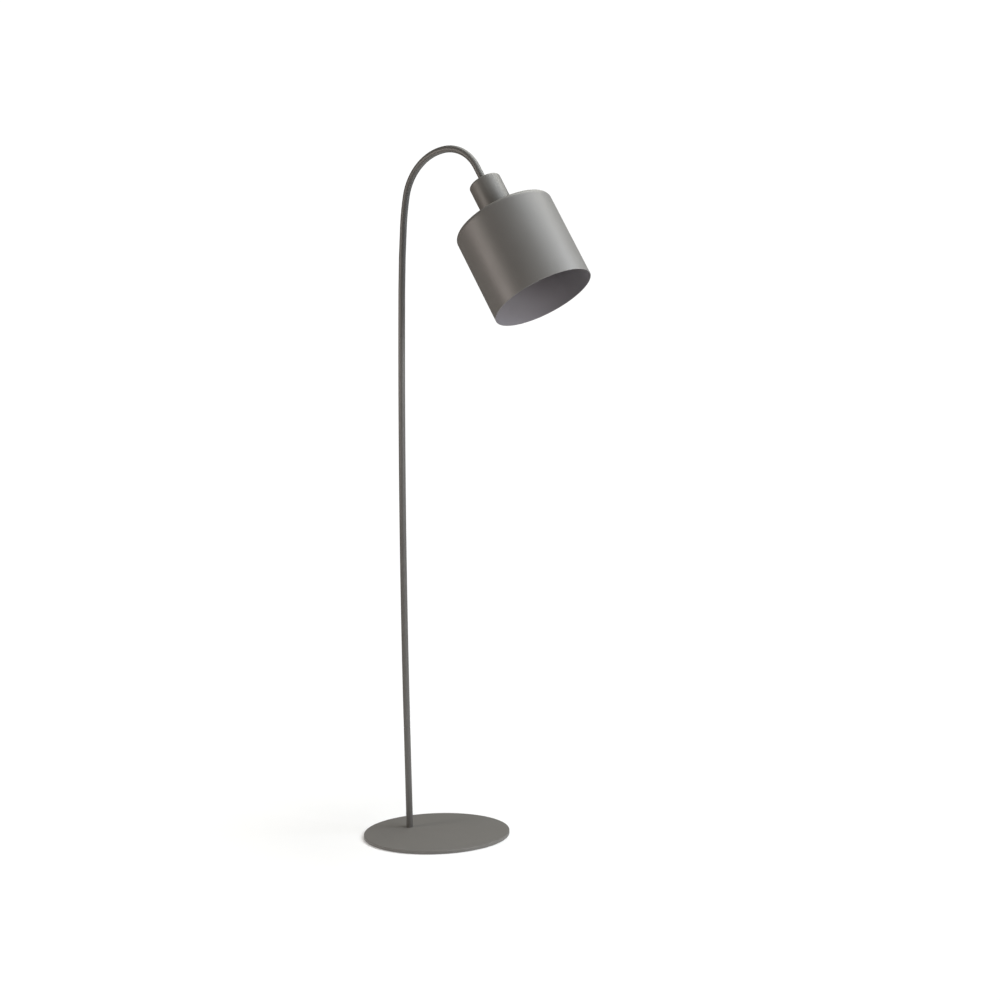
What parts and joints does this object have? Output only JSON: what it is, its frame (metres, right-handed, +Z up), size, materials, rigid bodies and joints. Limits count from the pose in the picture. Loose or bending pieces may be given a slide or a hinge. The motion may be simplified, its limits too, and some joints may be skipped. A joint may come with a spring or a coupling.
{
  "type": "arched floor lamp",
  "caption": "Floor lamp with a flat round base, a thin tube stem that arches over at the top, and a slanted cylindrical shade on a cylindrical lampholder cup.",
  "frame": {"origin": "centre of the base's underside, on the floor", "axes": "+Z up; +X the way the arch and the shade reach out from the stem; the XZ plane is the plane of symmetry"},
  "size_m": [0.4938, 0.28, 1.3064],
  "materials": {
    "grey_paint": "fine satin powder coat",
    "shade_paint": "fine satin powder coat, inside and out",
    "foam": "matt closed-cell foam",
    "zinc_steel": "bright zinc plate",
    "black_rubber": "matt",
    "lead_sheath": "smooth sheath",
    "grey_nylon": "moulded",
    "brass_fitting": "turned",
    "black_phenolic": "moulded",
    "steatite": "unglazed",
    "brown_core": "smooth sheath",
    "blue_core": "smooth sheath",
    "bulb_metal": "drawn",
    "opal_glass": "opal, white inside coat",
    "clear_glass": "clear",
    "phosphor": "silicone coat"
  },
  "bodies": {
    "base": {"base_plate": "grey_paint", "floor_pad": "foam", "foot_screw": "zinc_steel", "stem_stub": "grey_paint", "cord_grommet": "black_rubber", "lead_lower": "lead_sheath", "joint_nipple": "zinc_steel", "joint_washer": "grey_nylon"},
    "stem": {"stem_arch": "grey_paint", "lead_upper": "lead_sheath", "cup": "grey_paint", "head_nipple": "zinc_steel", "head_lock_washer": "zinc_steel", "head_nut": "brass_fitting", "holder_cap": "black_phenolic", "holder_core": "steatite", "holder_skirt": "black_phenolic", "screw_shell": "brass_fitting", "centre_contact": "brass_fitting", "terminal_live": "brass_fitting", "terminal_neutral": "brass_fitting", "terminal_screw_live": "zinc_steel", "terminal_screw_neutral": "zinc_steel", "core_live": "brown_core", "core_neutral": "blue_core", "shade": "shade_paint"},
    "shade_ring": {"shade_ring": "black_phenolic"},
    "bulb": {"bulb_cap": "bulb_metal", "bulb_insulator": "black_phenolic", "bulb_contact": "bulb_metal", "bulb_envelope": "opal_glass", "bulb_stem": "clear_glass", "filament_spider": "bulb_metal", "bulb_filament_1": "phosphor", "bulb_filament_2": "phosphor", "bulb_filament_3": "phosphor", "bulb_filament_4": "phosphor"}
  },
  "joints": [
    {"name": "stem_turn", "type": "hinge", "parent": "base", "child": "stem", "pos_m": [-0.0652, 0, 0.2028], "axis": [0, 0, 1], "range_deg": [-175, 175]},
    {"name": "bulb_turn", "type": "hinge", "parent": "stem", "child": "bulb", "pos_m": [53.98043, 0, -94.69543], "axis": [0.4894, 0, -0.8721], "range_deg": [0, 900]},
    {"name": "shade_ring_turn", "type": "hinge", "parent": "stem", "child": "shade_ring", "pos_m": [40.76711, 0, -71.14956], "axis": [0.4894, 0, -0.8721], "range_deg": [0, 1440]}
  ]
}
